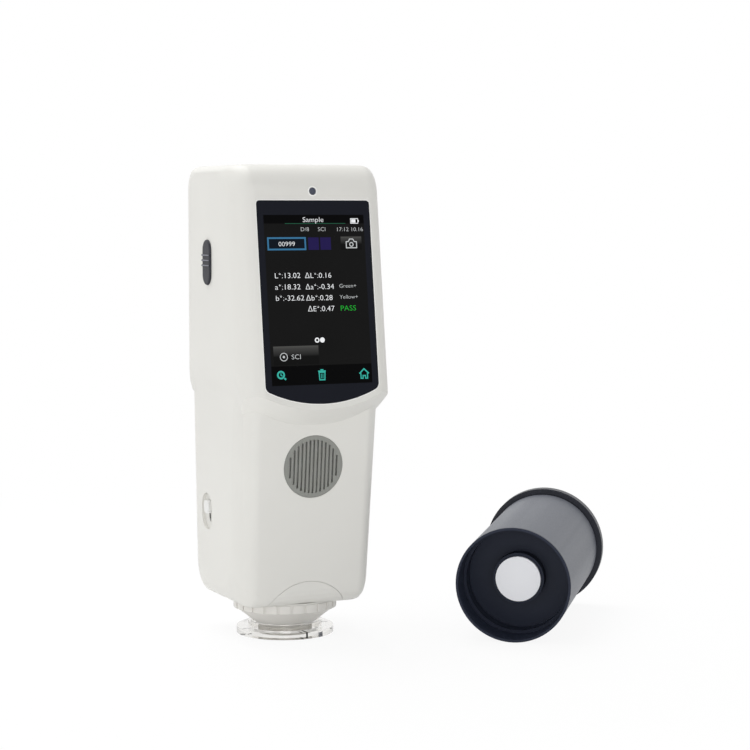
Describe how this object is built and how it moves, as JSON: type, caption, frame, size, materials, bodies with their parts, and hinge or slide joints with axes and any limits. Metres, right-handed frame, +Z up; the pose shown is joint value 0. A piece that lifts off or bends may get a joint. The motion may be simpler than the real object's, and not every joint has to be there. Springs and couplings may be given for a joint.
{
  "type": "portable sphere spectrophotometer",
  "caption": "Upright handheld colour-measuring instrument with a touch display, a grille and a side button, on its clear locating plate, with its dark calibration cup lying beside it.",
  "frame": {"origin": "on the nose's axis, on the surface that the locating plate stands on", "axes": "+Z up along the instrument, the display looks towards -Y, +X to the right of someone who faces it"},
  "size_m": [0.2037, 0.1224, 0.214],
  "materials": {
    "housing": "satin",
    "ring": "satin",
    "glass": "polished",
    "panel": "smooth",
    "lens": "clear",
    "grille": "satin",
    "button": "matt",
    "knob": "satin",
    "inner_plastic": "matt",
    "socket": "plain",
    "card": "matt",
    "inner_metal": "plain",
    "sphere_white": "matt",
    "screw_steel": "plain",
    "grating_mirror": "polished",
    "battery": "matt",
    "clear_plate": "clear",
    "black_line": "matt",
    "cup_black": "satin",
    "white_ceramic": "glazed"
  },
  "bodies": {
    "locating_plate": {"locating_plate": "clear_plate", "crosshair_lines": "black_line"},
    "instrument": {"front_cover": "housing", "rear_cover": "housing", "base_arch": "housing", "nose_collar": "ring", "touch_glass": "glass", "display_panel": "panel", "indicator_lens": "lens", "speaker_grille": "grille", "speaker": "inner_plastic", "key_switch": "inner_plastic", "power_switch_body": "inner_plastic", "battery_holder": "inner_plastic", "spectrometer_housing": "inner_plastic", "spectrometer_lid": "inner_plastic", "camera_module": "inner_plastic", "board_chips": "inner_plastic", "usb_socket": "socket", "main_board": "card", "button_card": "card", "port_card": "card", "lamp_card": "card", "line_sensor": "card", "base_plate": "inner_metal", "inner_frame": "inner_metal", "lens_barrel": "inner_metal", "sphere_lower": "sphere_white", "sphere_upper": "sphere_white", "cover_screws": "screw_steel", "grating": "grating_mirror", "battery_pack": "battery"},
    "measure_button": {"measure_button": "button", "switch_plunger": "inner_plastic"},
    "power_switch": {"power_switch_knob": "knob"},
    "aperture_ring": {"aperture_ring": "ring", "aperture_cone": "ring", "aperture_tip": "ring"},
    "calibration_cup": {"cup_barrel": "cup_black", "white_tile": "white_ceramic", "cup_base_cap": "cup_black"}
  },
  "joints": [
    {"name": "plate_pull", "type": "slide", "parent": "locating_plate", "child": "instrument", "axis": [0, 0, 1], "range_m": [0, 0.012]},
    {"name": "measure_press", "type": "slide", "parent": "instrument", "child": "measure_button", "axis": [1, 0, 0], "range_m": [0, 0.0008], "stiffness_N_per_m": 900, "springref_m": -0.0008},
    {"name": "power_slide", "type": "slide", "parent": "instrument", "child": "power_switch", "axis": [0.0157, 0, -0.9999], "range_m": [0, 0.004]},
    {"name": "aperture_turn", "type": "hinge", "parent": "instrument", "child": "aperture_ring", "pos_m": [0, 0, 0.014], "axis": [0, 0, 1], "range_deg": [0, 25]},
    {"name": "cup_lift", "type": "slide", "parent": "locating_plate", "child": "calibration_cup", "axis": [0, 0, 1], "range_m": [0, 0.12]}
  ]
}
